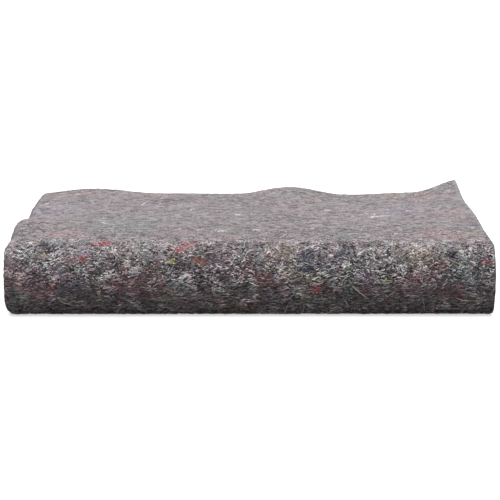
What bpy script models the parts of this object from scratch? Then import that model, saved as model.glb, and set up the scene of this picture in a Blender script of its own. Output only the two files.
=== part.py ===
"""A moving blanket of grey needled felt, folded into a flat stack of sixteen layers.

The blanket is one cut sheet with no hem, binding or stitching, so it is one solid. Its length is
folded in four across the stack, which leaves round folds at the left end and cut edges at the
right. The mat of four plies that this makes is then folded in four from back to front, with one
round fold over the whole front. Lengths are in metres. X runs from left to right, Y from front
to back and Z up, and the origin is the middle of the stack's underside.
"""

import math
from collections import namedtuple

import bmesh
import bpy
import numpy as np
from mathutils import Vector

# The cut sheet, and the air between two of its layers once folded
CUT_LENGTH = 2.00
CUT_WIDTH = 1.30
FELT = 0.0032
AIR = 0.0015

# The front fold bends tightly at its top and toe and swells gently forward between them
SHOULDER_RADIUS = 0.014
TOE_RADIUS = 0.014
BEND_DEGREES = 60.0

# How far edges and inner folds stand back from the outermost ones
TOP_EDGE_BACK = 0.004
INNER_EDGE_BACK = 0.007
INNER_PLY_BACK = 0.003
SMALL_FOLD_BACK = 0.002

# Sizes that follow from those
PITCH = FELT + AIR
HALF_FELT = FELT / 2
OUTER_FOLD_RADIUS = 1.5 * PITCH
SMALL_FOLD_RADIUS = 0.5 * PITCH
MAT_PITCH = 4 * PITCH
MAT_FOLD_RADIUS = 2 * PITCH
MAT_REACH = OUTER_FOLD_RADIUS + HALF_FELT
LOWEST_PLY = HALF_FELT
HIGHEST_PLY = HALF_FELT + 15 * PITCH
HALF_TURN = 180.0

# How far the sheet has slipped back at its first end, its three folds and its last end
SLIPS = (0.0, 0.0, 0.003, -0.003, 0.002)

# How far right the mat's runs lie: top, bottom, lower inner and upper inner
DRIFTS = (0.0, 0.0, -0.002, 0.002)

# A swell is a soft rise, hollow or sideways sway of the top layers around one point.
# Fade is how fast it dies away in the layers below.
Swell = namedtuple("Swell", "x y reach_x reach_y up right fade")
SWELLS = (
    Swell(x=-0.183, y=0.170, reach_x=0.090, reach_y=0.150, up=0.0056, right=0.0, fade=3),
    Swell(x=0.050, y=0.170, reach_x=0.064, reach_y=0.130, up=0.0080, right=0.0, fade=3),
    Swell(x=0.122, y=0.170, reach_x=0.042, reach_y=0.100, up=-0.0014, right=0.0, fade=2),
    Swell(x=0.262, y=0.185, reach_x=0.066, reach_y=0.095, up=0.0170, right=0.0, fade=5),
    Swell(x=0.255, y=0.100, reach_x=0.110, reach_y=0.190, up=0.0030, right=0.0, fade=3),
    Swell(x=-0.262, y=0.022, reach_x=0.095, reach_y=0.055, up=-0.0050, right=0.0, fade=1),
    Swell(x=-0.250, y=-0.055, reach_x=0.110, reach_y=0.062, up=0.0068, right=0.0, fade=1.5),
    Swell(x=-0.250, y=-0.060, reach_x=0.060, reach_y=0.050, up=0.0, right=-0.0015, fade=2),
    Swell(x=0.255, y=0.180, reach_x=0.100, reach_y=0.090, up=0.0, right=-0.0025, fade=3),
    Swell(x=0.255, y=0.000, reach_x=0.100, reach_y=0.110, up=0.0, right=0.0020, fade=3),
)

# Where the flat stretches are divided, closer together where they are uneven
CUTS_X = (-0.210, -0.180, -0.145, -0.095, -0.015, 0.015, 0.050, 0.085, 0.125, 0.200, 0.228)
UPPER_CUTS_Y = (0.115, 0.065, 0.022, -0.018, -0.058, -0.105)
LOWER_CUTS_Y = (0.080, 0.000, -0.080)
CLEAR_OF_CUT = 0.008

# How many flat strips each round stretch has
OUTER_FOLD_STRIPS = 6
SMALL_FOLD_STRIPS = 4
SHOULDER_STRIPS = 4
FACE_STRIPS = 4
TOE_STRIPS = 3
BACK_FOLD_STRIPS = 5
INNER_FOLD_STRIPS = 4

FELT_GREY = (0.31, 0.29, 0.30, 1.0)

Leg = namedtuple("Leg", "length turn strips cuts")


def straight(length, cuts):
    """A flat stretch, divided where it passes the cuts."""
    return Leg(length, 0.0, 1, cuts)


def arc(radius, degrees, strips):
    return Leg(radius * math.radians(abs(degrees)), math.radians(degrees), strips, ())


def advance(leg, place, distance):
    """Goes a distance along a leg from a place, which is an across, an up and a heading."""
    across, up, heading = place
    if not leg.turn:
        return (
            across + distance * math.cos(heading),
            up + distance * math.sin(heading),
            heading,
        )
    curve = leg.turn / leg.length
    turned = heading + curve * distance
    return (
        across + (math.sin(turned) - math.sin(heading)) / curve,
        up - (math.cos(turned) - math.cos(heading)) / curve,
        turned,
    )


class Route:
    """Straight legs and arcs laid end to end in one plane."""

    def __init__(self, legs, start):
        self.legs = legs
        self.begins = [0.0]
        self.places = [start]
        for leg in legs:
            self.begins.append(self.begins[-1] + leg.length)
            self.places.append(advance(leg, self.places[-1], leg.length))

    def at(self, distance):
        """Place at a distance from the start. The route runs straight on past both ends."""
        for leg, begin, place in zip(self.legs, self.begins, self.places):
            if distance <= begin + leg.length:
                break
        return advance(leg, place, distance - begin)

    def marks(self):
        """Distances of every strip's edge."""
        found = [0.0]
        for leg, begin, place in zip(self.legs, self.begins, self.places):
            passed = sorted((cut - place[0]) * math.cos(place[2]) for cut in leg.cuts)
            found += [
                begin + distance
                for distance in passed
                if CLEAR_OF_CUT < distance < leg.length - CLEAR_OF_CUT
            ]
            found += [begin + leg.length * i / leg.strips for i in range(1, leg.strips + 1)]
        return found

    def fold_middles(self):
        """Distances of the start, the middle of each arc and the end."""
        middles = [
            begin + leg.length / 2 for leg, begin in zip(self.legs, self.begins) if leg.turn
        ]
        return [0.0, *middles, self.begins[-1]]

    def straight_ends(self):
        """Distances at which each straight leg begins and ends."""
        ends = []
        for leg, begin in zip(self.legs, self.begins):
            if not leg.turn:
                ends += [begin, begin + leg.length]
        return ends


def across_route():
    """The mat's section, in X and height: outermost ply, lowest, third, then second.

    Its first leg starts at the outermost ply's free end, at the right.
    """
    outer_fold = arc(OUTER_FOLD_RADIUS, HALF_TURN, OUTER_FOLD_STRIPS)
    right_fold = arc(SMALL_FOLD_RADIUS, HALF_TURN, SMALL_FOLD_STRIPS)
    inner_fold = arc(SMALL_FOLD_RADIUS, -HALF_TURN, SMALL_FOLD_STRIPS)
    right_back = SMALL_FOLD_RADIUS + HALF_FELT + SMALL_FOLD_BACK
    folds = outer_fold.length + right_fold.length + inner_fold.length
    outer_ply = (CUT_LENGTH - folds + 2 * right_back + INNER_PLY_BACK) / 4
    legs = [
        straight(outer_ply, CUTS_X),
        outer_fold,
        straight(outer_ply - right_back, CUTS_X),
        right_fold,
        straight(outer_ply - right_back, CUTS_X),
        inner_fold,
        straight(outer_ply - INNER_PLY_BACK, CUTS_X),
    ]
    right_end = (outer_ply + MAT_REACH) / 2
    return Route(legs, (right_end, OUTER_FOLD_RADIUS, math.pi))


def front_to_back_route():
    """The mat's middle, in Y and Z, from the top run's free edge at the back.

    It goes forward over the top, down the front, back along the bottom, and then forward and
    back again inside.
    """
    bend = math.radians(BEND_DEGREES)
    drop = (1 - math.cos(bend)) * (SHOULDER_RADIUS + TOE_RADIUS)
    face_radius = (3 * MAT_PITCH - drop) / (2 * math.cos(bend))
    bulge = face_radius * (1 - math.sin(bend))
    shoulder = arc(SHOULDER_RADIUS, BEND_DEGREES, SHOULDER_STRIPS)
    face = arc(face_radius, HALF_TURN - 2 * BEND_DEGREES, FACE_STRIPS)
    toe = arc(TOE_RADIUS, BEND_DEGREES, TOE_STRIPS)
    back_fold = arc(MAT_FOLD_RADIUS, HALF_TURN, BACK_FOLD_STRIPS)
    inner_fold = arc(MAT_FOLD_RADIUS, -HALF_TURN, INNER_FOLD_STRIPS)

    # How far in from the front and back each run's straight stretch begins or ends
    top_front = SHOULDER_RADIUS * math.sin(bend) + bulge
    bottom_front = TOE_RADIUS * math.sin(bend) + bulge
    inner_front = MAT_PITCH + MAT_FOLD_RADIUS
    fold_back = MAT_FOLD_RADIUS + MAT_REACH
    ends = top_front + bottom_front + 2 * (inner_front + fold_back) + TOP_EDGE_BACK
    folds = shoulder.length + face.length + toe.length + back_fold.length + inner_fold.length
    depth = (CUT_WIDTH - folds + ends + INNER_EDGE_BACK) / 4
    legs = [
        straight(depth - top_front - TOP_EDGE_BACK, UPPER_CUTS_Y),
        shoulder,
        face,
        toe,
        straight(depth - bottom_front - fold_back, LOWER_CUTS_Y),
        back_fold,
        straight(depth - inner_front - fold_back, LOWER_CUTS_Y),
        inner_fold,
        straight(depth - inner_front - INNER_EDGE_BACK, UPPER_CUTS_Y),
    ]
    back = (depth + MAT_REACH) / 2
    return Route(legs, (back - TOP_EDGE_BACK, HIGHEST_PLY - OUTER_FOLD_RADIUS, math.pi))


def bell(offset, reach):
    """One in the middle, falling smoothly to nothing at the reach."""
    share = min(abs(offset) / reach, 1.0)
    return math.cos(share * math.pi / 2) ** 2


def swelling(place):
    """How far the swells move the cloth's middle here. The lowest ply stays flat."""
    height = max((place.z - LOWEST_PLY) / (HIGHEST_PLY - LOWEST_PLY), 0.0)
    moved = Vector()
    for swell in SWELLS:
        share = bell(place.x - swell.x, swell.reach_x) * bell(place.y - swell.y, swell.reach_y)
        moved += share * height**swell.fade * Vector((swell.right, 0.0, swell.up))
    return moved


def folded_place(across, front_to_back, length, width, side):
    """Where a point of the flat sheet comes to lie in the stack, before the swells.

    Length and width are measured along the sheet, and side through the felt from its middle.
    """
    x, rise, heading = across.at(length)
    x += side * math.sin(heading)
    rise -= side * math.cos(heading)
    slip = np.interp(length, across.fold_middles(), SLIPS)
    y, z, heading = front_to_back.at(width + slip)
    drift = np.interp(width, front_to_back.straight_ends(), np.repeat(DRIFTS, 2))
    return Vector((x + drift, y + rise * math.sin(heading), z - rise * math.cos(heading)))


def flat_slab(lengths, widths):
    """The sheet laid out flat, divided along its length and width, as a closed slab."""
    bm = bmesh.new()
    columns = len(lengths) - 1
    rows = len(widths) - 1
    bmesh.ops.create_grid(bm, x_segments=columns, y_segments=rows, size=0.5)
    for vertex in bm.verts:
        column = round((vertex.co.x + 0.5) * columns)
        row = round((vertex.co.y + 0.5) * rows)
        vertex.co = (lengths[column], widths[row], -HALF_FELT)
    thickened = bmesh.ops.extrude_face_region(bm, geom=bm.faces[:])
    for item in thickened["geom"]:
        if isinstance(item, bmesh.types.BMVert):
            item.co.z = HALF_FELT
    return bm


def centre_on_origin(bm):
    """Moves the stack so that the middle of its outline lies over the origin."""
    for axis in (0, 1):
        values = [vertex.co[axis] for vertex in bm.verts]
        middle = (min(values) + max(values)) / 2
        for vertex in bm.verts:
            vertex.co[axis] -= middle


def folded_blanket():
    across = across_route()
    front_to_back = front_to_back_route()
    bm = flat_slab(across.marks(), front_to_back.marks())
    for vertex in bm.verts:
        length, width, side = vertex.co
        middle = folded_place(across, front_to_back, length, width, 0.0)
        place = folded_place(across, front_to_back, length, width, side)
        vertex.co = place + swelling(middle)
    centre_on_origin(bm)
    bmesh.ops.recalc_face_normals(bm, faces=bm.faces[:])
    mesh = bpy.data.meshes.new("blanket")
    bm.to_mesh(mesh)
    bm.free()
    return mesh


def felt_material():
    material = bpy.data.materials.new("grey_felt")
    material.use_nodes = True
    shader = material.node_tree.nodes["Principled BSDF"]
    shader.inputs["Base Color"].default_value = FELT_GREY
    shader.inputs["Roughness"].default_value = 0.95
    shader.inputs["Metallic"].default_value = 0.0
    return material


def main():
    for old in list(bpy.data.objects):
        bpy.data.objects.remove(old)
    mesh = folded_blanket()
    mesh.materials.append(felt_material())
    mesh.shade_smooth()
    mesh.set_sharp_from_angle(angle=math.radians(50))
    blanket = bpy.data.objects.new("blanket", mesh)
    bpy.context.scene.collection.objects.link(blanket)


main()
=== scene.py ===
import math

import bmesh
import bpy
import numpy as np
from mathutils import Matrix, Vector, noise


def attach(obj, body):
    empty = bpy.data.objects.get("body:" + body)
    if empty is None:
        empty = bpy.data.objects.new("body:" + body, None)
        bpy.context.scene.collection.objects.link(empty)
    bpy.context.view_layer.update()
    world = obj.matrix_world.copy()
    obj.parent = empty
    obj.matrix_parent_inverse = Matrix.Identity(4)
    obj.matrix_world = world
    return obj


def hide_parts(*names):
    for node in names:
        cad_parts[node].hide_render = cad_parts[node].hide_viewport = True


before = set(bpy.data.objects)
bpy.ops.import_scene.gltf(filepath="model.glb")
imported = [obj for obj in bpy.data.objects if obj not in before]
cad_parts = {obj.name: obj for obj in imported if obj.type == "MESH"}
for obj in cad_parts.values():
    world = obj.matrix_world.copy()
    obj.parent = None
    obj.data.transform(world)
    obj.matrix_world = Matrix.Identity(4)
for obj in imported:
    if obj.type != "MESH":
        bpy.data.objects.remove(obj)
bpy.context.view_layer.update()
print("frame loaded")


# the folded cloth: one flat sheet and the two routes that it is folded along

clothValues = {
    "cutLength": 2.00,
    "cutWidth": 1.30,
    "felt": 0.0032,
    "air": 0.0015,
    "shoulderRadius": 0.014,
    "toeRadius": 0.014,
    "bendDegrees": 60.0,
    "topEdgeBack": 0.004,
    "innerEdgeBack": 0.007,
    "innerPlyBack": 0.003,
    "smallFoldBack": 0.002,
    "slips": (0.0, 0.0, 0.003, -0.003, 0.002),
    "drifts": (0.0, 0.0, -0.002, 0.002),
}

swellRows = [  # soft rises, hollows and sways: x, y, reach in x, reach in y, up, right, fade below
    (-0.183, 0.170, 0.090, 0.150, 0.0056, 0.0, 3),
    (0.050, 0.170, 0.064, 0.130, 0.0080, 0.0, 3),
    (0.122, 0.170, 0.042, 0.100, -0.0014, 0.0, 2),
    (0.262, 0.185, 0.066, 0.095, 0.0170, 0.0, 5),
    (0.255, 0.100, 0.110, 0.190, 0.0030, 0.0, 3),
    (-0.262, 0.022, 0.095, 0.055, -0.0050, 0.0, 1),
    (-0.250, -0.055, 0.110, 0.062, 0.0068, 0.0, 1.5),
    (-0.250, -0.060, 0.060, 0.050, 0.0, -0.0015, 2),
    (0.255, 0.180, 0.100, 0.090, 0.0, -0.0025, 3),
    (0.255, 0.000, 0.100, 0.110, 0.0, 0.0020, 3),
]

plies = 4  # the length is folded into this many, and then the width into as many again
pitch = clothValues["felt"] + clothValues["air"]
halfFelt = clothValues["felt"] / 2
matPitch = plies * pitch
outerRadius = 1.5 * pitch
smallRadius = 0.5 * pitch
matReach = outerRadius + halfFelt
topPly = halfFelt + (plies**2 - 1) * pitch
tiny = 1e-6  # a length or a curve below this counts as none


def layRoute(legs, start):  # legs are (length, turn); a place is across, up and heading
    begins = [0.0]
    places = [start]
    for length, turn in legs:
        across, up, heading = places[-1]
        if turn:
            curve = turn / length
            across += (math.sin(heading + turn) - math.sin(heading)) / curve
            up -= (math.cos(heading + turn) - math.cos(heading)) / curve
        else:
            across += length * math.cos(heading)
            up += length * math.sin(heading)
        begins.append(begins[-1] + length)
        places.append((across, up, heading + turn))
    curves = [turn / length for length, turn in legs]
    return {"begins": np.array(begins), "places": np.array(places), "curves": np.array(curves)}


def alongRoute(route, distance):  # runs straight on past both ends
    last = len(route["curves"]) - 1
    leg = np.clip(np.searchsorted(route["begins"], distance, side="right") - 1, 0, last)
    gone = distance - route["begins"][leg]
    across, up, heading = route["places"][leg].T
    curve = route["curves"][leg]
    turned = heading + curve * gone
    bent = np.abs(curve) > tiny
    safeCurve = np.where(bent, curve, 1.0)
    roundAcross = (np.sin(turned) - np.sin(heading)) / safeCurve
    roundUp = -(np.cos(turned) - np.cos(heading)) / safeCurve
    across = across + np.where(bent, roundAcross, gone * np.cos(heading))
    up = up + np.where(bent, roundUp, gone * np.sin(heading))
    return across, up, turned


def acrossRoute():  # the mat's section in X and height, from the outermost ply's free end
    v = clothValues
    outerFold = (outerRadius * math.pi, math.pi)
    rightFold = (smallRadius * math.pi, math.pi)
    innerFold = (smallRadius * math.pi, -math.pi)
    rightBack = smallRadius + halfFelt + v["smallFoldBack"]
    folds = outerFold[0] + rightFold[0] + innerFold[0]
    outerPly = (v["cutLength"] - folds + 2 * rightBack + v["innerPlyBack"]) / plies
    legs = [
        (outerPly, 0.0),
        outerFold,
        (outerPly - rightBack, 0.0),
        rightFold,
        (outerPly - rightBack, 0.0),
        innerFold,
        (outerPly - v["innerPlyBack"], 0.0),
    ]
    return layRoute(legs, ((outerPly + matReach) / 2, outerRadius, math.pi))


def frontToBackRoute():  # the mat's middle in Y and Z, from the top run's free back edge
    v = clothValues
    bend = math.radians(v["bendDegrees"])
    drop = (1 - math.cos(bend)) * (v["shoulderRadius"] + v["toeRadius"])
    faceRadius = ((plies - 1) * matPitch - drop) / (2 * math.cos(bend))
    bulge = faceRadius * (1 - math.sin(bend))
    foldRadius = matPitch / 2
    shoulder = (v["shoulderRadius"] * bend, bend)
    face = (faceRadius * (math.pi - 2 * bend), math.pi - 2 * bend)
    toe = (v["toeRadius"] * bend, bend)
    backFold = (foldRadius * math.pi, math.pi)
    innerFold = (foldRadius * math.pi, -math.pi)
    topFront = v["shoulderRadius"] * math.sin(bend) + bulge
    bottomFront = v["toeRadius"] * math.sin(bend) + bulge
    innerFront = matPitch + foldRadius
    foldBack = foldRadius + matReach
    ends = topFront + bottomFront + 2 * (innerFront + foldBack)
    ends += v["topEdgeBack"] + v["innerEdgeBack"]
    folds = shoulder[0] + face[0] + toe[0] + backFold[0] + innerFold[0]
    depth = (v["cutWidth"] - folds + ends) / plies
    legs = [
        (depth - topFront - v["topEdgeBack"], 0.0),
        shoulder,
        face,
        toe,
        (depth - bottomFront - foldBack, 0.0),
        backFold,
        (depth - innerFront - foldBack, 0.0),
        innerFold,
        (depth - innerFront - v["innerEdgeBack"], 0.0),
    ]
    back = (depth + matReach) / 2
    return layRoute(legs, (back - v["topEdgeBack"], topPly - outerRadius, math.pi))


section = acrossRoute()
profile = frontToBackRoute()
lengthMarks = section["begins"]  # where the plies and folds begin along the sheet's length
widthMarks = profile["begins"]  # where the runs and folds begin along its width
plyEnd, foldEnd = lengthMarks[1:3]  # where the outer ply and the fold at the left end
frontTop, frontFoot = widthMarks[[1, 4]]  # where the top turns into the front, and that into the base
lengthEnd, widthEnd = lengthMarks[-1], widthMarks[-1]
slipKnots = np.array([0.0, *((lengthMarks[1:6:2] + lengthMarks[2:7:2]) / 2), lengthEnd])  # folds' middles
driftKnots = widthMarks[[0, 1, 4, 5, 6, 7, 8, 9]]  # both ends of every straight run


def bell(offset, reach):  # 1 at no offset, fading out at the reach
    return np.cos(np.minimum(np.abs(offset) / reach, 1.0) * math.pi / 2) ** 2


def foldFlat(length, width, side):  # from the flat sheet to the mat's folds, without swells
    x, rise, heading = alongRoute(section, length)
    x = x + side * np.sin(heading)
    rise = rise - side * np.cos(heading)
    slip = np.interp(length, slipKnots, clothValues["slips"])
    y, z, heading = alongRoute(profile, width + slip)
    x = x + np.interp(width, driftKnots, np.repeat(clothValues["drifts"], 2))
    return np.column_stack((x, y + rise * np.sin(heading), z - rise * np.cos(heading)))


lumpValues = {
    "wide": 0.055,  # size of the soft lumps that all layers share
    "wideHeight": 0.0009,
    "fade": 1.5,  # how fast they die away in the layers below
    "frontHeight": 0.0011,
    "frontStart": -0.125,
    "frontReach": 0.03,
    "frontLayer": 0.3,  # keeps the front's lumps apart from the top's
    "footRise": 4,  # how fast they grow from the floor up
}


def lumps(places):  # soft unevenness that every layer follows, so that none cuts another
    v = lumpValues
    moved = np.zeros_like(places)
    for i, (x, y, z) in enumerate(places):
        height = min(max((z - halfFelt) / (topPly - halfFelt), 0.0), 1.0)
        if height <= 0.0:
            continue
        soft = noise.noise(Vector((x, y, 0.0)) / v["wide"])
        moved[i, 2] = soft * v["wideHeight"] * height ** v["fade"]
        nearFront = min(max((v["frontStart"] - y) / v["frontReach"], 0.0), 1.0)
        if nearFront > 0.0:
            bulge = noise.noise(Vector((x, v["frontLayer"], z)) / v["wide"])
            moved[i, 1] = bulge * v["frontHeight"] * nearFront * min(height * v["footRise"], 1.0)
    return moved


def foldCloth(length, width, side):  # the folds with their swells and lumps
    middle = foldFlat(length, width, np.zeros_like(side))
    places = foldFlat(length, width, side)
    height = np.clip((middle[:, 2] - halfFelt) / (topPly - halfFelt), 0.0, None)
    for x, y, reachX, reachY, up, right, fade in swellRows:
        share = bell(middle[:, 0] - x, reachX) * bell(middle[:, 1] - y, reachY) * height**fade
        places[:, 2] += share * up
        places[:, 0] += share * right
    return places + lumps(middle)


# dyed scraps: torn cloth among the grey

dyes = {
    "maroon": (0.250, 0.098, 0.115),
    "plum": (0.150, 0.095, 0.130),
    "red": (0.540, 0.130, 0.150),
    "rust": (0.380, 0.115, 0.070),
    "rose": (0.440, 0.285, 0.300),
    "tan": (0.500, 0.385, 0.290),
    "olive": (0.290, 0.250, 0.145),
    "yellow": (0.860, 0.770, 0.260),
    "gold": (0.620, 0.490, 0.270),
    "straw": (0.780, 0.700, 0.560),
    "teal": (0.205, 0.275, 0.262),
    "navy": (0.075, 0.085, 0.135),
    "lilac": (0.360, 0.300, 0.430),
    "white": (0.880, 0.860, 0.840),
    # near black: black fibres, and painted shade in the felt's holes
    "blackAndHoleShade": (0.018, 0.017, 0.020),
}

frontScraps = [  # on the front: x, height as seen, reach, dye, share of the fibres that take it
    (-0.150, 0.0765, 0.0085, "red", 0.68),
    (-0.071, 0.065, 0.0075, "red", 0.70),
    (-0.064, 0.069, 0.010, "red", 0.45),
    (-0.051, 0.052, 0.0064, "rust", 0.85),
    (-0.170, 0.055, 0.0065, "red", 0.55),
    (0.067, 0.0265, 0.0056, "red", 0.90),
    (0.067, 0.0215, 0.0056, "red", 0.90),
    (0.240, 0.051, 0.0060, "red", 0.48),
    (-0.079, 0.0520, 0.0037, "yellow", 1.00),
    (-0.209, 0.061, 0.0055, "gold", 0.50),
    # painted shade: a dark hole in the felt
    (-0.206, 0.067, 0.0075, "blackAndHoleShade", 1.00),
    (-0.170, 0.061, 0.010, "lilac", 0.50),
    (-0.241, 0.040, 0.020, "rose", 0.40),
    (-0.216, 0.029, 0.022, "maroon", 0.40),
    (-0.187, 0.044, 0.014, "rose", 0.45),
    (-0.130, 0.032, 0.018, "maroon", 0.48),
    (-0.103, 0.028, 0.024, "maroon", 0.42),
    (-0.085, 0.018, 0.014, "olive", 0.30),
    (-0.177, 0.027, 0.011, "navy", 0.40),
    (-0.192, 0.041, 0.008, "lilac", 0.55),
    (-0.154, 0.040, 0.010, "blackAndHoleShade", 0.60),
    (-0.055, 0.038, 0.016, "blackAndHoleShade", 0.50),
    (-0.147, 0.036, 0.0062, "white", 0.90),
    (-0.118, 0.044, 0.0060, "white", 0.75),
    (-0.126, 0.053, 0.0055, "white", 0.75),
    (-0.065, 0.037, 0.0045, "white", 0.95),
    (-0.036, 0.022, 0.0045, "white", 0.50),
    (-0.037, 0.045, 0.018, "plum", 0.50),
    (0.004, 0.044, 0.017, "maroon", 0.50),
    (0.017, 0.030, 0.009, "maroon", 0.65),
    (0.034, 0.063, 0.016, "tan", 0.45),
    (0.048, 0.042, 0.024, "olive", 0.38),
    (0.061, 0.050, 0.015, "navy", 0.62),
    (0.074, 0.057, 0.007, "blackAndHoleShade", 0.65),
    (0.097, 0.057, 0.010, "navy", 0.60),
    (0.099, 0.049, 0.006, "white", 0.95),
    (0.122, 0.027, 0.018, "plum", 0.60),
    (0.138, 0.033, 0.0055, "straw", 0.80),
    (0.154, 0.046, 0.0065, "white", 0.80),
    (0.167, 0.057, 0.018, "olive", 0.42),
    (0.172, 0.033, 0.020, "maroon", 0.45),
    (0.193, 0.047, 0.012, "maroon", 0.50),
    (0.203, 0.022, 0.014, "maroon", 0.38),
    # painted shade: a dark hole in the felt
    (0.207, 0.061, 0.005, "blackAndHoleShade", 0.90),
    (-0.180, 0.076, 0.022, "teal", 0.30),
    (0.220, 0.035, 0.022, "teal", 0.25),
    (0.105, 0.034, 0.022, "teal", 0.30),
    (-0.075, 0.030, 0.020, "teal", 0.25),
]

topScraps = [  # on the top: x, y, reach, dye, share
    (-0.192, -0.100, 0.026, "rose", 0.55),
    (-0.215, 0.050, 0.036, "lilac", 0.40),
    (-0.205, 0.130, 0.030, "rose", 0.35),
    (-0.120, 0.140, 0.036, "rose", 0.30),
    (-0.140, -0.040, 0.044, "teal", 0.50),
    (-0.075, -0.090, 0.026, "rose", 0.35),
    (0.050, 0.090, 0.030, "rose", 0.35),
    (0.100, -0.010, 0.026, "rose", 0.40),
    (0.098, -0.110, 0.020, "teal", 0.45),
    (0.172, 0.040, 0.036, "lilac", 0.35),
    (0.145, 0.010, 0.016, "white", 0.30),
    (0.200, -0.100, 0.036, "rose", 0.55),
    (0.215, 0.120, 0.036, "rose", 0.35),
    (0.235, 0.020, 0.036, "rose", 0.40),
    (-0.025, -0.125, 0.016, "rose", 0.40),
    (-0.030, -0.075, 0.010, "white", 0.45),
]

scatterValues = {
    "seed": 11,
    "number": 150,
    "reach": (0.006, 0.030),
    "share": (0.12, 0.45),
    "dyes": ("maroon", "rose", "teal", "navy", "lilac", "plum", "rose", "tan", "rust", "blackAndHoleShade"),
    "frontBehind": 0.35,  # scattered scraps are weaker where the front has its own
}

seenValues = {  # how the photo shows the front
    "angle": 11.6,  # the camera's, in degrees above level
    "footLine": -0.13,  # the y that heights as seen count from
    "steps": 200,
}


def lengthAt(x):  # on the outer ply
    return section["places"][0][0] - x


def widthOnTop(y):
    return profile["places"][0][0] - y


def widthAtHeight(height):  # on the front's outer face, for a height as seen
    v = seenValues
    widths = np.linspace(frontTop, widthMarks[3], v["steps"])
    places = foldFlat(np.full(v["steps"], plyEnd / 2), widths, np.full(v["steps"], halfFelt))
    heights = places[:, 2] + (places[:, 1] - v["footLine"]) * math.tan(math.radians(v["angle"]))
    return float(np.interp(height, heights[::-1], widths[::-1]))


def scatterScraps():  # (length, width, reach, dye, share) over the whole sheet
    v = scatterValues
    draw = np.random.default_rng(v["seed"])
    found = []
    for i in range(v["number"]):
        length = draw.uniform(0.0, foldEnd)
        width = draw.uniform(0.0, widthEnd)
        reach = draw.uniform(*v["reach"])
        share = draw.uniform(*v["share"])
        if frontTop < width < frontFoot:
            share *= v["frontBehind"]
        found.append((length, width, reach, v["dyes"][i % len(v["dyes"])], share))
    return found


def allScraps():  # as scatterScraps gives them
    found = scatterScraps()
    for x, y, reach, dye, share in topScraps:
        found.append((lengthAt(x), widthOnTop(y), reach, dye, share))
    for x, height, reach, dye, share in frontScraps:
        found.append((lengthAt(x), widthAtHeight(height), reach, dye, share))
    return found


scraps = allScraps()

raggedValues = {  # what makes a scrap's outline torn and uneven
    "size": 0.0075,
    "pull": 0.75,  # as a share of the scrap's reach
    "thin": 0.7,
    "longer": 1.25,
    "lower": 0.80,
    "edge": 2.0,  # how sharp it is
    "layers": (3.5, 9.5, 15.5),  # keep the three noises apart
}


def noiseAt(lengths, widths, size, layer):
    return np.array([noise.noise((a, b, layer)) for a, b in zip(lengths / size, widths / size)])


def dyeAt(lengths, widths):  # the dye that is strongest at each spot, and its share there
    v = raggedValues
    alongLayer, acrossLayer, thinLayer = v["layers"]
    colour = np.zeros((len(lengths), 3))
    best = np.zeros(len(lengths))
    pullAlong = noiseAt(lengths, widths, v["size"], alongLayer) * v["pull"]
    pullAcross = noiseAt(lengths, widths, v["size"], acrossLayer) * v["pull"]
    thinned = 1.0 - v["thin"] * np.abs(noiseAt(lengths, widths, v["size"] / 2, thinLayer))
    for length, width, reach, dye, share in scraps:
        along = (lengths - length) / (reach * v["longer"]) + pullAlong
        across = (widths - width) / (reach * v["lower"]) + pullAcross
        here = share * np.clip(v["edge"] * (1.0 - np.hypot(along, across)), 0.0, 1.0) * thinned
        stronger = here > best
        best[stronger] = here[stronger]
        colour[stronger] = dyes[dye]
    return colour, best


# the blanket itself

def stretches(marks, strips):  # divides each stretch between marks into even strips
    found = [marks[0]]
    for begin, end, count in zip(marks[:-1], marks[1:], strips):
        found += [begin + (end - begin) * i / count for i in range(1, count + 1)]
    return found


meshValues = {
    "lengthStrips": (204, 14, 25, 6, 25, 6, 25),  # outer ply first, which shows
    "widthStrips": (50, 9, 26, 10, 12, 10, 14, 6, 14),  # top run first, then the front
    "relief": 0.00050,
    "reliefSize": 0.0075,
    "fineRelief": 0.00028,
    "fineSize": 0.0038,
    "sideStep": 3.0,  # keeps the two faces' reliefs apart
    "edgeRag": 0.0003,
    "edgeRagSize": 0.004,
    "frontShadeReach": 0.025,  # over this much of the sheet the front's painted shade comes and goes
    "topNap": 0.50,  # how rough the top is, as a share of the rest
    "napReach": 0.030,
}


def makeSlab(name, lengths, widths):
    bm = bmesh.new()
    columns, rows = len(lengths) - 1, len(widths) - 1
    bmesh.ops.create_grid(bm, x_segments=columns, y_segments=rows, size=0.5)
    for vertex in bm.verts:
        column = round((vertex.co.x + 0.5) * columns)
        row = round((vertex.co.y + 0.5) * rows)
        vertex.co = (lengths[column], widths[row], -halfFelt)
    thick = bmesh.ops.extrude_face_region(bm, geom=bm.faces[:])
    for item in thick["geom"]:
        if isinstance(item, bmesh.types.BMVert):
            item.co.z = halfFelt
    bmesh.ops.recalc_face_normals(bm, faces=bm.faces[:])
    mesh = bpy.data.meshes.new(name)
    bm.to_mesh(mesh)
    bm.free()
    return mesh


def feltRelief(length, width, side):  # how far the uneven felt stands proud at a spot
    v = meshValues
    spot = Vector((length, width, side * v["sideStep"]))
    soft = noise.noise(spot / v["reliefSize"]) * v["relief"]
    return soft + noise.noise(spot / v["fineSize"]) * v["fineRelief"]


def roughen(flat):  # an uneven felt surface and slightly ragged cut edges, in the flat sheet
    v = meshValues
    worked = flat.copy()
    for i, (length, width, side) in enumerate(flat):
        worked[i, 2] = side + math.copysign(feltRelief(length, width, side), side)
        rag = noise.noise(Vector((length, width, side)) / v["edgeRagSize"]) * v["edgeRag"]
        if length < tiny or length > lengthEnd - tiny:
            worked[i, 0] += rag
        if width < tiny or width > widthEnd - tiny:
            worked[i, 1] += rag
    return worked


def addObject(name, mesh):
    thing = bpy.data.objects.new(name, mesh)
    bpy.context.scene.collection.objects.link(thing)
    return thing


def addPointValues(mesh, name, kind, values):
    layer = mesh.attributes.new(name, kind, "POINT")
    layer.data.foreach_set("vector" if kind == "FLOAT_VECTOR" else "value", values.ravel())


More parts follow.
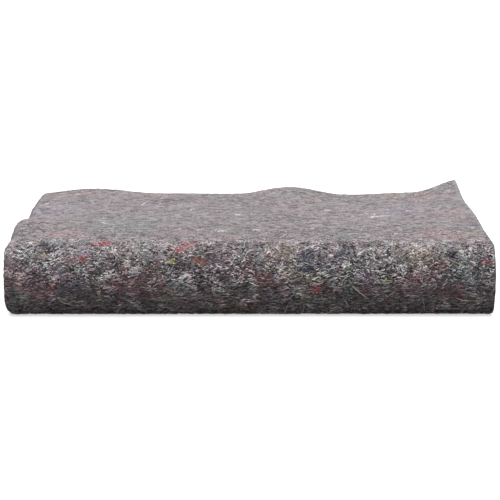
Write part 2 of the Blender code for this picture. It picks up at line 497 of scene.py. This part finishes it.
mapValues = {  # each stretch's share of the bake's map, the ones that show first
    "lengthShares": (0.84, 0.05, 0.03, 0.02, 0.02, 0.02, 0.02),
    "widthShares": (0.42, 0.07, 0.21, 0.06, 0.05, 0.07, 0.05, 0.02, 0.05),
    "outer": (0.0, 0.80),
    "inner": (0.81, 0.94),
    "rims": (0.95, 0.962, 0.974, 0.986),
    "rimWide": 0.010,
}


def addSheetMap(mesh, flat):  # lays the flat sheet out with the faces that show largest
    v = mapValues
    along = np.interp(flat[:, 0], lengthMarks, np.concatenate(([0.0], np.cumsum(v["lengthShares"]))))
    across = np.interp(flat[:, 1], widthMarks, np.concatenate(([0.0], np.cumsum(v["widthShares"]))))
    layer = mesh.uv_layers.new(name="OFBake")
    for face in mesh.polygons:
        corners = np.array(face.vertices)
        length, width, side = flat[corners].mean(axis=0)
        lifted = flat[corners, 2] > 0
        if abs(side) > halfFelt / 2:
            begin, end = v["outer"] if side > 0 else v["inner"]
            u, w = begin + along[corners] * (end - begin), across[corners]
        else:
            rims = (length < tiny, length > lengthEnd - tiny, width < tiny, width > widthEnd - tiny)
            which = rims.index(True)
            u = v["rims"][which] + lifted * v["rimWide"]
            w = across[corners] if which < 2 else along[corners]
        for loop, a, b in zip(face.loop_indices, u, w):
            layer.data[loop].uv = (a, b)


def frontShadeAt(widths):  # 1 on the front's face, where its base is darkened with painted shade under the fibres
    reach = meshValues["frontShadeReach"]
    opening = np.clip((widths - frontTop) / reach, 0, 1)
    closing = np.clip((frontFoot - widths) / reach + 1, 0, 1)
    return opening * closing


def napAt(flat):  # how rough the felt is: less so on the top's outer face
    v = meshValues
    onTop = (flat[:, 0] < plyEnd) & (flat[:, 2] > 0)
    nap = np.interp(flat[:, 1], (frontTop - v["napReach"], frontTop), (v["topNap"], 1.0))
    return np.where(onTop, nap, 1.0)


def makeBlanket():
    lengths = stretches(lengthMarks, meshValues["lengthStrips"])
    widths = stretches(widthMarks, meshValues["widthStrips"])
    mesh = makeSlab("feltBlanket", lengths, widths)
    flat = np.empty(len(mesh.vertices) * 3)
    mesh.vertices.foreach_get("co", flat)
    flat = flat.reshape(-1, 3)
    addPointValues(mesh, "sheetSpot", "FLOAT_VECTOR", flat)
    dye, share = dyeAt(flat[:, 0], flat[:, 1])
    addPointValues(mesh, "dyeColour", "FLOAT_VECTOR", dye)
    addPointValues(mesh, "dyeShare", "FLOAT", share)
    addPointValues(mesh, "frontShade", "FLOAT", frontShadeAt(flat[:, 1]))
    addPointValues(mesh, "nap", "FLOAT", napAt(flat))
    addSheetMap(mesh, flat)
    worked = roughen(flat)
    places = foldCloth(worked[:, 0], worked[:, 1], worked[:, 2])
    places[:, 2] = np.maximum(places[:, 2], 0.0)
    mesh.vertices.foreach_set("co", places.ravel())
    mesh.update()
    bm = bmesh.new()
    bm.from_mesh(mesh)
    bmesh.ops.recalc_face_normals(bm, faces=bm.faces[:])
    bm.to_mesh(mesh)
    bm.free()
    mesh.shade_smooth()
    return addObject("feltBlanket", mesh)


blanket = makeBlanket()
print("blanket folded,", len(blanket.data.polygons), "faces")


# the felt's own fibres: short curled strands, matted into its face

strandValues = {
    "sides": 3,
    "tip": 0.18,  # an end's width as a share of the middle's
    "flatness": 0.6,  # height of a strand's section as a share of its width
    "bury": 0.0004,  # how deep the ends sit in the felt
    "floorGap": 0.0002,
    "edgeGap": 0.0004,  # how near the cut edge a point may lie
    "edgeClear": 0.0009,  # and a strand's end
    "dyeTaken": (0.35, 1.55),  # how unevenly strands take a scrap's dye
    "mostDye": 0.95,
    "dyeShades": 0.28,
    "darkest": 0.008,
    "palest": 0.92,
    "spillFade": 1.9,  # how fast strands thin out past the line between top and front
    "wander": 0.007,  # how far that line strays
    "wanderSize": 0.020,
    "wanderReach": 0.032,
    "wanderLayer": 21.5,
    "foldRise": 0.4,  # how high strands stand on the left end's fold, as a share
    "foldBefore": 0.002,
    "footHeight": 0.050,  # below this the front's strands lie longer and flatter
    "footReach": 0.027,
    "footCombed": 0.65,
    "footLonger": 0.70,
    "footFlatter": 0.4,
    "heightSteps": 60,
}

greyTones = {  # brightness of a strand by chance: most are middling, few are near black or white
    "chances": (0.0, 0.18, 0.39, 0.68, 0.92, 0.985, 1.0),
    "brightness": (0.02, 0.07, 0.18, 0.34, 0.50, 0.68, 0.92),
    "middle": 0.30,
    "tint": (1.0, 0.908, 0.936),
    "clumpSize": 0.009,
    "hueSize": 0.008,
    "layers": (0.5, 6.5, 12.5),  # keep the noises of clumps, warmth and blush apart
    "warmth": (0.13, 0.00, -0.08),  # how red, green and blue drift together, in two ways
    "blush": (0.12, -0.07, 0.03),
    "unevenHue": 0.028,
    "topBright": 0.94,  # what the front's strands turn to where they thin out over the top
    "topContrast": 0.145,
    "easeStart": 0.044,
    "easeReach": 0.074,
    # painted light where the front's strands spill over the top's edge
    "spillPaintedLight": 0.14,
    # painted light and shade down the front's strands: lighter in the middle, darker lower down and at
    # the foot
    "midHeight": 0.048,
    "midReach": 0.022,
    "midPaintedLight": 0.24,
    "midContrast": 0.45,
    "dipHeight": 0.031,  # a band of painted shade between the middle and the foot
    "dipReach": 0.011,
    "dipPaintedShade": -0.13,
    "footPaintedShade": -0.18,
    "footContrast": -0.24,
    "footBlush": (0.030, -0.030, -0.020),
    "frontBlush": 0.25,  # the rest of the front's share of it
    "topHue": 0.4,
    "topClumps": 0.3,
    "glint": 0.68,
    "glintShare": 0.004,
}

outerPart = (0.001, foldEnd)  # the ply that shows, with the fold at the left
frontPart = (frontTop - 0.002, frontFoot - 0.003)

strandParts = {  # stretches of the sheet's length and of its width
    "front": (outerPart, frontPart),
    "top": (outerPart, (0.005, frontTop)),
    "leftFold": ((plyEnd - 0.004, foldEnd + 0.002), (frontFoot, widthEnd - 0.004)),
    "rightFold": ((lengthMarks[3] - 0.001, lengthMarks[4] + 0.001), (0.004, widthEnd - 0.004)),
    "backFold": (outerPart, (widthMarks[5] - 0.004, widthMarks[6] + 0.004)),
}

# how many strands of each kind lie on which parts, and their sizes in metres; a spill is the share
# of them that lies past the line between top and front, and how far
# the front's fuzz and down stand higher and are paler than its nap, partly painted shade in the nap's
# depth
strandRows = {
    "frontNap": {
        "parts": {"front": 8200}, "spill": (0.17, 0.070), "segments": 3,
        "long": (0.0036, 0.0082), "wide": (0.0011, 0.0020), "rise": (0.0002, 0.0008),
        "slant": (4, 22), "curl": 0.0005, "bright": 1.02, "contrast": 1.15, "clumps": 0.9, "seed": 1,
    },
    "frontFuzz": {
        "parts": {"front": 7000}, "spill": (0.19, 0.080), "segments": 4,
        "long": (0.0024, 0.0066), "wide": (0.0007, 0.0013), "rise": (0.0006, 0.0014),
        "slant": (8, 26), "curl": 0.0007, "bright": 1.36, "contrast": 1.05, "clumps": 0.9, "seed": 2,
    },
    "frontDown": {
        "parts": {"front": 6800}, "spill": (0.22, 0.090), "segments": 3,
        "long": (0.0014, 0.0040), "wide": (0.0006, 0.0012), "rise": (0.0008, 0.0015),
        "slant": (12, 40), "curl": 0.0004, "bright": 1.32, "contrast": 1.20, "clumps": 0.9, "seed": 4,
    },
    "topFuzz": {
        "parts": {"top": 8200}, "spill": (0.030, -0.012), "segments": 3,
        "long": (0.0070, 0.0160), "wide": (0.0014, 0.0030), "rise": (0.0001, 0.0004),
        "slant": (0, 34), "curl": 0.0012, "bright": 1.06, "contrast": 0.15, "clumps": 0.7, "seed": 3,
    },
    "endFuzz": {
        "parts": {"leftFold": 2200, "rightFold": 1000, "backFold": 3000},
        "spill": (0.0, 0.0), "segments": 3,
        "long": (0.0035, 0.0090), "wide": (0.0009, 0.0018), "rise": (0.0001, 0.0004),
        "slant": (0, 40), "curl": 0.0007, "bright": 1.04, "contrast": 0.45, "clumps": 0.7, "seed": 5,
    },
}

threadRows = [  # loose threads on the front: x, height, length, slant in degrees, curl, dye
    (-0.198, 0.055, 0.017, -27, 0.0010, "straw"),
    (0.213, 0.050, 0.030, -17, 0.0012, "straw"),
    (0.112, 0.021, 0.032, -38, 0.0006, "straw"),
    (0.090, 0.036, 0.018, 52, 0.0008, "rose"),
    (0.097, 0.034, 0.016, 50, -0.0008, "straw"),
    (0.219, 0.013, 0.021, -8, 0.0010, "straw"),
    (0.099, 0.055, 0.013, -30, 0.0008, "straw"),
    (-0.098, 0.060, 0.025, 35, 0.0010, "rose"),
    (-0.165, 0.034, 0.012, -42, 0.0006, "straw"),
    (0.136, 0.034, 0.009, 70, 0.0035, "straw"),
    (0.152, 0.046, 0.013, -60, 0.0045, "white"),
    (0.156, 0.042, 0.011, 30, 0.0035, "white"),
    (-0.188, 0.011, 0.018, -10, 0.0008, "straw"),
    (-0.020, 0.008, 0.016, 25, 0.0008, "rose"),
]

threadValues = {
    "seed": 9,
    "segments": 9,
    "scattered": 60,
    "endGap": 0.012,  # how far they stay from the cut end
    "overTop": 0.06,  # and how far they reach over the top
    "slant": 45.0,
    "long": (0.007, 0.017),
    "wide": (0.00050, 0.00070),
    "rise": (0.0016, 0.0025),
    "curl": 0.0022,
    "dyes": ("straw", "white", "rose", "white", "blackAndHoleShade", "white", "lilac"),
}

cellValues = {  # where a strand's faces lie in its own square of the bake's map: begins and sizes
    "around": (0.08, 0.66),
    "along": (0.08, 0.84),
    "capAcross": (0.87, 0.05),
    "capUp": (0.3, 0.7),
    "capTall": 0.12,
}


def strandShape(segments):  # a closed strand of straight segments, and a map for its faces
    v = cellValues
    sides = strandValues["sides"]
    bm = bmesh.new()
    bmesh.ops.create_circle(bm, cap_ends=True, segments=sides, radius=1.0)
    for step in range(segments):
        cap = [face for face in bm.faces if min(v.co.z for v in face.verts) > step - 0.5]
        rim = [edge for face in cap for edge in face.edges]  # with it, no cap stays behind inside
        grown = bmesh.ops.extrude_face_region(bm, geom=cap + rim)
        newPoints = [item for item in grown["geom"] if isinstance(item, bmesh.types.BMVert)]
        bmesh.ops.translate(bm, verts=newPoints, vec=(0.0, 0.0, 1.0))
    bmesh.ops.recalc_face_normals(bm, faces=bm.faces[:])
    bm.verts.index_update()
    points = np.array([tuple(vertex.co) for vertex in bm.verts])
    aroundStart, around = v["around"]
    alongStart, along = v["along"]
    capStart, capWide = v["capAcross"]
    faces, spots = [], []
    for face in bm.faces:
        faces.append([vertex.index for vertex in face.verts])
        places = [vertex.co for vertex in face.verts]
        turns = [(math.atan2(p.y, p.x) / math.tau) % 1.0 for p in places]
        if max(turns) - min(turns) > 0.5:  # a face across the seam
            turns = [turn if turn > 0.5 else turn + 1.0 for turn in turns]
        if len(places) == 4:
            spots += [
                (aroundStart + around * turn, alongStart + along * p.z / segments)
                for turn, p in zip(turns, places)
            ]
        else:
            capUp = v["capUp"][0] if places[0].z < 0.5 else v["capUp"][1]
            spots += [(capStart + capWide * p.x, capUp + v["capTall"] * p.y) for p in places]
    bm.free()
    return points, faces, np.array(spots)


def frontHeight(widths):  # height on the front's outer face, above it on the top run
    steps = strandValues["heightSteps"]
    marks = np.linspace(frontTop, frontFoot, steps)
    places = foldFlat(np.full(steps, plyEnd / 2), marks, np.full(steps, halfFelt))
    return np.interp(widths, marks, places[:, 2])


def footAt(widths):  # 1 at the front's foot, fading out upwards
    v = strandValues
    foot = np.clip((v["footHeight"] - frontHeight(widths)) / v["footReach"], 0.0, 1.0)
    return foot * (widths < frontFoot)


def drawGreys(draw, row, lengths, widths):  # undyed colours for a row's strands
    v = greyTones
    clumpLayer, warmthLayer, blushLayer = v["layers"]
    tone = np.interp(draw.random(len(lengths)), v["chances"], v["brightness"])
    ease = np.clip((widths - frontTop + v["easeStart"]) / v["easeReach"], 0.0, 1.0)
    middle = bell(frontHeight(widths) - v["midHeight"], v["midReach"])
    dip = bell(frontHeight(widths) - v["dipHeight"], v["dipReach"])
    foot = footAt(widths)
    contrast = row["contrast"] + v["midContrast"] * middle + v["footContrast"] * foot
    # painted light in the middle of the front, painted shade in a band below it and at the foot
    shading = 1.0 + v["midPaintedLight"] * middle + v["dipPaintedShade"] * dip + v["footPaintedShade"] * foot
    bright = row["bright"] * shading
    contrast = v["topContrast"] + (contrast - v["topContrast"]) * ease
    # painted light along the top's front edge, lifting the spilled strands out of their own shade
    spillLight = v["spillPaintedLight"] * 4 * ease * (1.0 - ease)
    bright = v["topBright"] + (bright - v["topBright"]) * ease + spillLight
    clumps = row["clumps"] * (v["topClumps"] + (1.0 - v["topClumps"]) * ease)
    tone = v["middle"] * (tone / v["middle"]) ** contrast
    tone = tone * bright * np.exp(noiseAt(lengths, widths, v["clumpSize"], clumpLayer) * clumps)
    tone[draw.random(len(lengths)) < v["glintShare"]] = v["glint"]
    warm = noiseAt(lengths, widths, v["hueSize"], warmthLayer)[:, None] * v["warmth"]
    blush = noiseAt(lengths, widths, v["hueSize"], blushLayer)[:, None] * v["blush"]
    drift = (warm + blush) * (v["topHue"] + (1.0 - v["topHue"]) * ease[:, None])
    blushing = ease * (v["frontBlush"] + (1.0 - v["frontBlush"]) * foot)
    drift += blushing[:, None] * v["footBlush"]
    tint = np.array(v["tint"]) * (1.0 + drift + draw.normal(0.0, v["unevenHue"], (len(lengths), 3)))
    return tone[:, None] * tint


def drawStrands(row):  # where each strand lies on the flat sheet, its size, curl and colour
    v = strandValues
    draw = np.random.default_rng(row["seed"])
    parts = [(*strandParts[name], number) for name, number in row["parts"].items()]
    length = np.concatenate([draw.uniform(*lengths, number) for lengths, widths, number in parts])
    width = np.concatenate([draw.uniform(*widths, number) for lengths, widths, number in parts])
    count = len(length)
    spillShare, spillReach = row["spill"]
    spilt = draw.random(count) < spillShare
    width[spilt] = frontPart[0] - spillReach * draw.random(spilt.sum()) ** v["spillFade"]
    stray = noiseAt(length, np.zeros(count), v["wanderSize"], v["wanderLayer"]) * v["wander"]
    width = width + stray * bell(width - frontPart[0], v["wanderReach"])
    colour = drawGreys(draw, row, length, width)
    dye, share = dyeAt(length, width)
    taken = np.clip(share * draw.uniform(*v["dyeTaken"], count), 0.0, v["mostDye"])[:, None]
    shade = np.exp(draw.normal(0.0, v["dyeShades"], count)) * np.sqrt(row["bright"])
    colour = colour * (1.0 - taken) + dye * shade[:, None] * taken
    foot = footAt(width)
    centre, spread = row["slant"]
    angle = np.radians(draw.normal(centre, spread, count) * (1.0 - v["footCombed"] * foot))
    long = draw.uniform(*row["long"], count) * (1.0 + v["footLonger"] * foot)
    length = np.maximum(length, v["edgeClear"] + np.abs(long * np.cos(angle)) / 2)
    onFold = length > plyEnd - v["foldBefore"]
    lift = np.where(onFold, v["foldRise"], 1.0 - v["footFlatter"] * foot)
    return {
        "length": length,
        "width": width,
        "colour": np.clip(colour, v["darkest"], v["palest"]),
        "angle": angle,
        "long": long,
        "wide": draw.uniform(*row["wide"], count),
        "rise": draw.uniform(*row["rise"], count) * lift,
        "curl": draw.normal(0.0, row["curl"], count),
        "wave": draw.normal(0.0, row["curl"] / 2, count),
        "phase": draw.uniform(0.0, math.tau, count),
    }


def drawThreads():  # the listed threads, then the scattered ones
    v = threadValues
    draw = np.random.default_rng(v["seed"])
    rows = [(lengthAt(x), widthAtHeight(height), *rest) for x, height, *rest in threadRows]
    for i in range(v["scattered"]):
        length = draw.uniform(v["endGap"], plyEnd)
        width = frontPart[0] + draw.uniform(-v["overTop"], frontPart[1] - frontPart[0])
        slant, curl = draw.normal(0.0, v["slant"]), draw.normal(0.0, v["curl"])
        dye = v["dyes"][i % len(v["dyes"])]
        rows.append((length, width, draw.uniform(*v["long"]), slant, curl, dye))
    length, width, long, slant, curl = np.array([row[:-1] for row in rows]).T
    count = len(rows)
    return {
        "length": length,
        "width": width,
        "colour": np.array([dyes[row[-1]] for row in rows]),
        "angle": np.radians(slant),
        "long": long,
        "wide": draw.uniform(*v["wide"], count),
        "rise": draw.uniform(*v["rise"], count),
        "curl": curl,
        "wave": draw.normal(0.0, v["curl"] / 3, count),
        "phase": draw.uniform(0.0, math.tau, count),
    }


def makeStrands(name, strands, segments):  # one mesh of many strands, all made from one shape
    v = strandValues
    points, faces, spots = strandShape(segments)
    t = points[:, 2] / segments
    middle = 4 * t * (1 - t)
    taper = v["tip"] + (1 - v["tip"]) * np.sqrt(middle)
    s = {key: value[:, None] for key, value in strands.items() if key != "colour"}
    along = (t - 0.5) * s["long"]
    aside = s["curl"] * (middle - 0.5) + s["wave"] * np.sin(math.tau * t + s["phase"])
    aside = aside + points[:, 0] * taper * s["wide"] / 2
    relief = np.array([feltRelief(a, b, halfFelt) for a, b in zip(strands["length"], strands["width"])])
    side = halfFelt + relief[:, None] - v["bury"] + (s["rise"] + v["bury"]) * middle
    side = side + points[:, 1] * taper * s["wide"] / 2 * v["flatness"]
    length = s["length"] + along * np.cos(s["angle"]) - aside * np.sin(s["angle"])
    length = np.maximum(length, v["edgeGap"])
    width = s["width"] + along * np.sin(s["angle"]) + aside * np.cos(s["angle"])
    places = foldCloth(length.ravel(), width.ravel(), side.ravel())
    places[:, 2] = np.maximum(places[:, 2], v["floorGap"])

    count, pointCount = len(strands["length"]), len(points)
    corners = np.concatenate([np.array(face) for face in faces])
    sizes = np.array([len(face) for face in faces])
    allCorners = (corners + pointCount * np.arange(count)[:, None]).ravel()
    starts = np.concatenate(([0], np.cumsum(np.tile(sizes, count))[:-1]))
    mesh = bpy.data.meshes.new(name)
    mesh.vertices.add(count * pointCount)
    mesh.vertices.foreach_set("co", places.ravel())
    mesh.loops.add(len(allCorners))
    mesh.loops.foreach_set("vertex_index", allCorners)
    mesh.polygons.add(len(starts))
    mesh.polygons.foreach_set("loop_start", starts)
    mesh.update(calc_edges=True)
    mesh.validate()
    colours = np.repeat(strands["colour"], pointCount, axis=0)
    addPointValues(mesh, "strandColour", "FLOAT_VECTOR", colours)
    cells = math.ceil(math.sqrt(count))
    corner = np.column_stack((np.arange(count) % cells, np.arange(count) // cells))
    layer = mesh.uv_layers.new(name="OFBake")
    layer.data.foreach_set("uv", ((corner[:, None] + spots) / cells).ravel())
    mesh.shade_smooth()
    return addObject(name, mesh)


fibres = [makeStrands(name, drawStrands(row), row["segments"]) for name, row in strandRows.items()]
fibres.append(makeStrands("looseThreads", drawThreads(), threadValues["segments"]))
print("fibres laid,", sum(len(piece.data.polygons) for piece in fibres), "faces")


# materials

perMetre = 1000.0  # the patterns' sizes are in millimetres
noiseMiddle = 0.5  # a noise's values lie around this


def addNode(tree, kind, settings=None, inputs=None):
    node = tree.nodes.new(kind)
    for name, value in (settings or {}).items():
        setattr(node, name, value)
    for name, value in (inputs or {}).items():
        socket = node.inputs[name]
        if isinstance(value, bpy.types.NodeSocket):
            tree.links.new(value, socket)
        else:
            socket.default_value = value
    return node


def calculate(tree, operation, first, second, third=0.0):
    inputs = {0: first, 1: second, 2: third}
    return addNode(tree, "ShaderNodeMath", {"operation": operation}, inputs).outputs[0]


def calculateVector(tree, operation, first, second):
    inputs = {0: first, "Scale" if operation == "SCALE" else 1: second}
    return addNode(tree, "ShaderNodeVectorMath", {"operation": operation}, inputs).outputs[0]


def mixColours(tree, blend, amount, first, second):
    settings = {"data_type": "RGBA", "blend_type": blend}
    return addNode(tree, "ShaderNodeMix", settings, {0: amount, 6: first, 7: second}).outputs[2]


def remap(tree, value, low, high, newLow=0.0, newHigh=1.0):
    inputs = {0: value, 1: low, 2: high, 3: newLow, 4: newHigh}
    settings = {"interpolation_type": "SMOOTHSTEP"}
    return addNode(tree, "ShaderNodeMapRange", settings, inputs).outputs[0]


def addNoise(tree, vector, look, output="Fac"):  # a look is size in the vector's units, detail, roughness
    size, detail, roughness = look
    inputs = {"Vector": vector, "Scale": 1 / size, "Detail": detail, "Roughness": roughness}
    return addNode(tree, "ShaderNodeTexNoise", inputs=inputs).outputs[output]


def centredNoise(tree, vector, look):
    return calculate(tree, "SUBTRACT", addNoise(tree, vector, look), noiseMiddle)


def addRamp(tree, value, rows):
    ramp = addNode(tree, "ShaderNodeValToRGB", inputs={0: value})
    elements = ramp.color_ramp.elements
    while len(elements) < len(rows):
        elements.new(1.0)
    for element, (position, colour) in zip(elements, rows):
        element.position = position
        element.color = (*colour, 1.0)
    return ramp.outputs[0]


def readPoints(tree, name, output):
    return addNode(tree, "ShaderNodeAttribute", {"attribute_name": name}).outputs[output]


def addBump(tree, shader, height, strength, distance):
    inputs = {"Height": height, "Strength": strength, "Distance": distance}
    bump = addNode(tree, "ShaderNodeBump", inputs=inputs)
    tree.links.new(bump.outputs[0], shader.inputs["Normal"])


def startMaterial(name, values):
    material = bpy.data.materials.new(name)
    material.use_nodes = True
    shader = material.node_tree.nodes["Principled BSDF"]
    shader.inputs["Roughness"].default_value = values["roughness"]
    shader.inputs["Specular IOR Level"].default_value = values["specular"]
    return material, shader


feltValues = {  # a noise is its size, detail and roughness
    "greys": [  # by how far the fibres lie up or down: darker where they lie low, partly painted shade in the hollows and partly the felt's own uneven tone
        (0.12, (0.112, 0.102, 0.106)),
        (0.32, (0.218, 0.200, 0.208)),
        (0.50, (0.322, 0.296, 0.306)),
        (0.68, (0.424, 0.394, 0.405)),
        (0.90, (0.560, 0.530, 0.542)),
    ],
    "greyMiddle": 0.50,
    # painted shade: how dark the front's base turns under its fibres
    "frontShadeDark": (0.50, 0.48, 0.50, 1.0),
    "pullNoise": (3.0, 3.0, 0.6),
    "pull": 5.0,
    "strokeAngles": (12, 55, 98, 140),
    "strokeShift": (31.0, 17.0, 5.0),  # keeps the directions' patterns apart
    "strokeWide": 1.2,
    "strokeLong": 8.0,
    "strokeNoise": (1.0, 2.0, 0.6),
    "patchNoise": (6.0, 1.0, 0.5),  # where each direction's strokes lie
    "patchEdge": (0.42, 0.58),
    "strokeShare": 1.2,
    "grainNoise": (1.6, 2.0, 0.7),
    "grainShare": 0.7,
    "clumpNoise": (8.0, 2.0, 0.55),
    "clumpShare": 0.60,
    "ragNoise": (4.5, 3.0, 0.75),
    "dyePush": 0.9,  # how strongly a scrap's share fills in its rags
    "dyeStart": 0.80,
    "dyeReach": 0.40,
    "mostDye": 0.60,
    "roughness": 0.92,
    "specular": 0.2,
    "bumpStrength": 1.0,
    "bumpHeight": 0.0013,
}


def addStrokes(tree, torn):  # matted fibres, stroked in several directions
    v = feltValues
    strokes = None
    for i, degrees in enumerate(v["strokeAngles"]):
        turned = addNode(tree, "ShaderNodeMapping", {"vector_type": "POINT"}, {
            "Vector": torn,
            "Location": tuple(shift * i for shift in v["strokeShift"]),
            "Rotation": (0.0, 0.0, math.radians(degrees)),
            "Scale": (1 / v["strokeLong"], 1 / v["strokeWide"], 1 / v["strokeWide"]),
        }).outputs[0]
        where = remap(tree, addNoise(tree, turned, v["patchNoise"]), *v["patchEdge"])
        part = calculate(tree, "MULTIPLY", centredNoise(tree, turned, v["strokeNoise"]), where)
        strokes = part if strokes is None else calculate(tree, "ADD", strokes, part)
    return strokes


def makeFelt():
    v = feltValues
    material, shader = startMaterial("feltCloth", v)
    tree = material.node_tree
    flat = calculateVector(tree, "SCALE", readPoints(tree, "sheetSpot", "Vector"), perMetre)

    # a pull in random directions gives every pattern torn edges
    pull = addNoise(tree, flat, v["pullNoise"], "Color")
    centred = calculateVector(tree, "SUBTRACT", pull, (noiseMiddle,) * 3)
    torn = calculateVector(tree, "ADD", flat, calculateVector(tree, "SCALE", centred, v["pull"]))

    grain = calculate(tree, "MULTIPLY", centredNoise(tree, flat, v["grainNoise"]), v["grainShare"])
    rough = calculate(tree, "MULTIPLY_ADD", addStrokes(tree, torn), v["strokeShare"], grain)
    mixed = calculate(tree, "MULTIPLY_ADD", rough, readPoints(tree, "nap", "Fac"), v["greyMiddle"])
    clumps = centredNoise(tree, torn, v["clumpNoise"])
    mixed = calculate(tree, "MULTIPLY_ADD", clumps, v["clumpShare"], mixed)
    # the pattern that sets the bump also sets the grey, so low spots are darker: partly painted shade
    grey = addRamp(tree, mixed, v["greys"])

    # dyed scraps among the grey, with torn edges
    dye = readPoints(tree, "dyeColour", "Vector")
    share = readPoints(tree, "dyeShare", "Fac")
    rags = calculate(tree, "SUBTRACT", addNoise(tree, torn, v["ragNoise"]), v["dyeStart"])
    where = calculate(tree, "MULTIPLY_ADD", share, v["dyePush"], rags)
    amount = remap(tree, where, 0.0, v["dyeReach"], 0.0, v["mostDye"])
    colour = mixColours(tree, "MIX", amount, grey, dye)
    # painted shade on the front's base, darkest on its face
    frontShade = readPoints(tree, "frontShade", "Fac")
    colour = mixColours(tree, "MULTIPLY", frontShade, colour, v["frontShadeDark"])
    tree.links.new(colour, shader.inputs["Base Color"])
    addBump(tree, shader, mixed, v["bumpStrength"], v["bumpHeight"])
    return material


fibreValues = {
    "mottleNoise": (1.6, 2.0, 0.6),
    "mottleEnds": (0.3, 0.7),
    "mottle": (0.72, 1.22),
    "twistNoise": (0.35, 1.0, 0.5),
    "twistStrength": 0.6,
    "twistHeight": 0.00012,
    "roughness": 0.88,
    "specular": 0.25,
}


def makeFibre():
    v = fibreValues
    material, shader = startMaterial("feltFibre", v)
    tree = material.node_tree
    place = addNode(tree, "ShaderNodeTexCoord").outputs["Object"]
    scaled = calculateVector(tree, "SCALE", place, perMetre)
    mottle = addNoise(tree, scaled, v["mottleNoise"])
    bright = remap(tree, mottle, *v["mottleEnds"], *v["mottle"])
    colour = calculateVector(tree, "SCALE", readPoints(tree, "strandColour", "Vector"), bright)
    tree.links.new(colour, shader.inputs["Base Color"])
    addBump(tree, shader, addNoise(tree, scaled, v["twistNoise"]), v["twistStrength"], v["twistHeight"])
    return material


blanket.data.materials.append(makeFelt())
fibre = makeFibre()
for piece in fibres:
    piece.data.materials.append(fibre)
print("felt coloured")


# floor, light and camera

stageValues = {
    "floorSize": 16.0,
    "floorColour": (0.80, 0.80, 0.80, 1.0),
    "floorGlow": 0.56,
    "floorDrop": 0.0003,
    "white": (1.0, 1.0, 1.0, 1.0),
    "skyStrength": 0.06,
    "roughness": 1.0,
    "specular": 0.5,
}

sunRows = [  # name, strength, softness in degrees, tilt about X and Y in degrees
    ("topSun", 2.6, 60.0, (-8.0, -6.0)),
    ("frontSun", 2.0, 60.0, (34.0, 10.0)),
]

cameraValues = {
    "aim": (0.001, 0.0, 0.0375),
    "distance": 1.875,
    "elevation": seenValues["angle"],
    "azimuth": -0.15,
    "focalPixels": 1677.0,
    "framePixels": 500.0,
    "sensor": 36.0,
    "farthest": 60.0,
}


def makeFloor():
    v = stageValues
    bm = bmesh.new()
    bmesh.ops.create_grid(bm, x_segments=1, y_segments=1, size=v["floorSize"] / 2)
    bmesh.ops.translate(bm, verts=bm.verts[:], vec=(0.0, 0.0, -v["floorDrop"]))
    mesh = bpy.data.meshes.new("paleFloor")
    bm.to_mesh(mesh)
    bm.free()
    floor = addObject("paleFloor", mesh)
    material, shader = startMaterial("paleFloor", v)
    shader.inputs["Base Color"].default_value = v["floorColour"]
    shader.inputs["Emission Color"].default_value = v["white"]
    shader.inputs["Emission Strength"].default_value = v["floorGlow"]
    mesh.materials.append(material)
    floor.visible_diffuse = False  # so the bright floor doesn't light the cloth's underside
    return floor


def makeLights():
    for name, strength, softness, (tiltX, tiltY) in sunRows:
        sun = bpy.data.lights.new(name, "SUN")
        sun.energy = strength
        sun.angle = math.radians(softness)
        lamp = addObject(name, sun)
        lamp.rotation_euler = (math.radians(tiltX), math.radians(tiltY), 0.0)
    world = bpy.data.worlds.new("paleSky")
    world.use_nodes = True
    background = world.node_tree.nodes["Background"]
    background.inputs["Color"].default_value = stageValues["white"]
    background.inputs["Strength"].default_value = stageValues["skyStrength"]
    bpy.context.scene.world = world


def makeCamera():
    v = cameraValues
    data = bpy.data.cameras.new("photoCamera")
    data.sensor_width = v["sensor"]
    data.lens = v["focalPixels"] / v["framePixels"] * v["sensor"]
    data.clip_end = v["farthest"]
    camera = addObject("photoCamera", data)
    up, turn = math.radians(v["elevation"]), math.radians(v["azimuth"])
    away = Vector((math.sin(turn) * math.cos(up), -math.cos(turn) * math.cos(up), math.sin(up)))
    camera.location = Vector(v["aim"]) + away * v["distance"]
    camera.rotation_euler = (math.pi / 2 - up, 0.0, turn)
    bpy.context.scene.camera = camera


floor = makeFloor()
makeLights()
makeCamera()
bpy.context.scene.view_settings.view_transform = "Standard"
print("stage set")

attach(blanket, "root")
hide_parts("blanket")
for piece in fibres:
    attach(piece, "root")
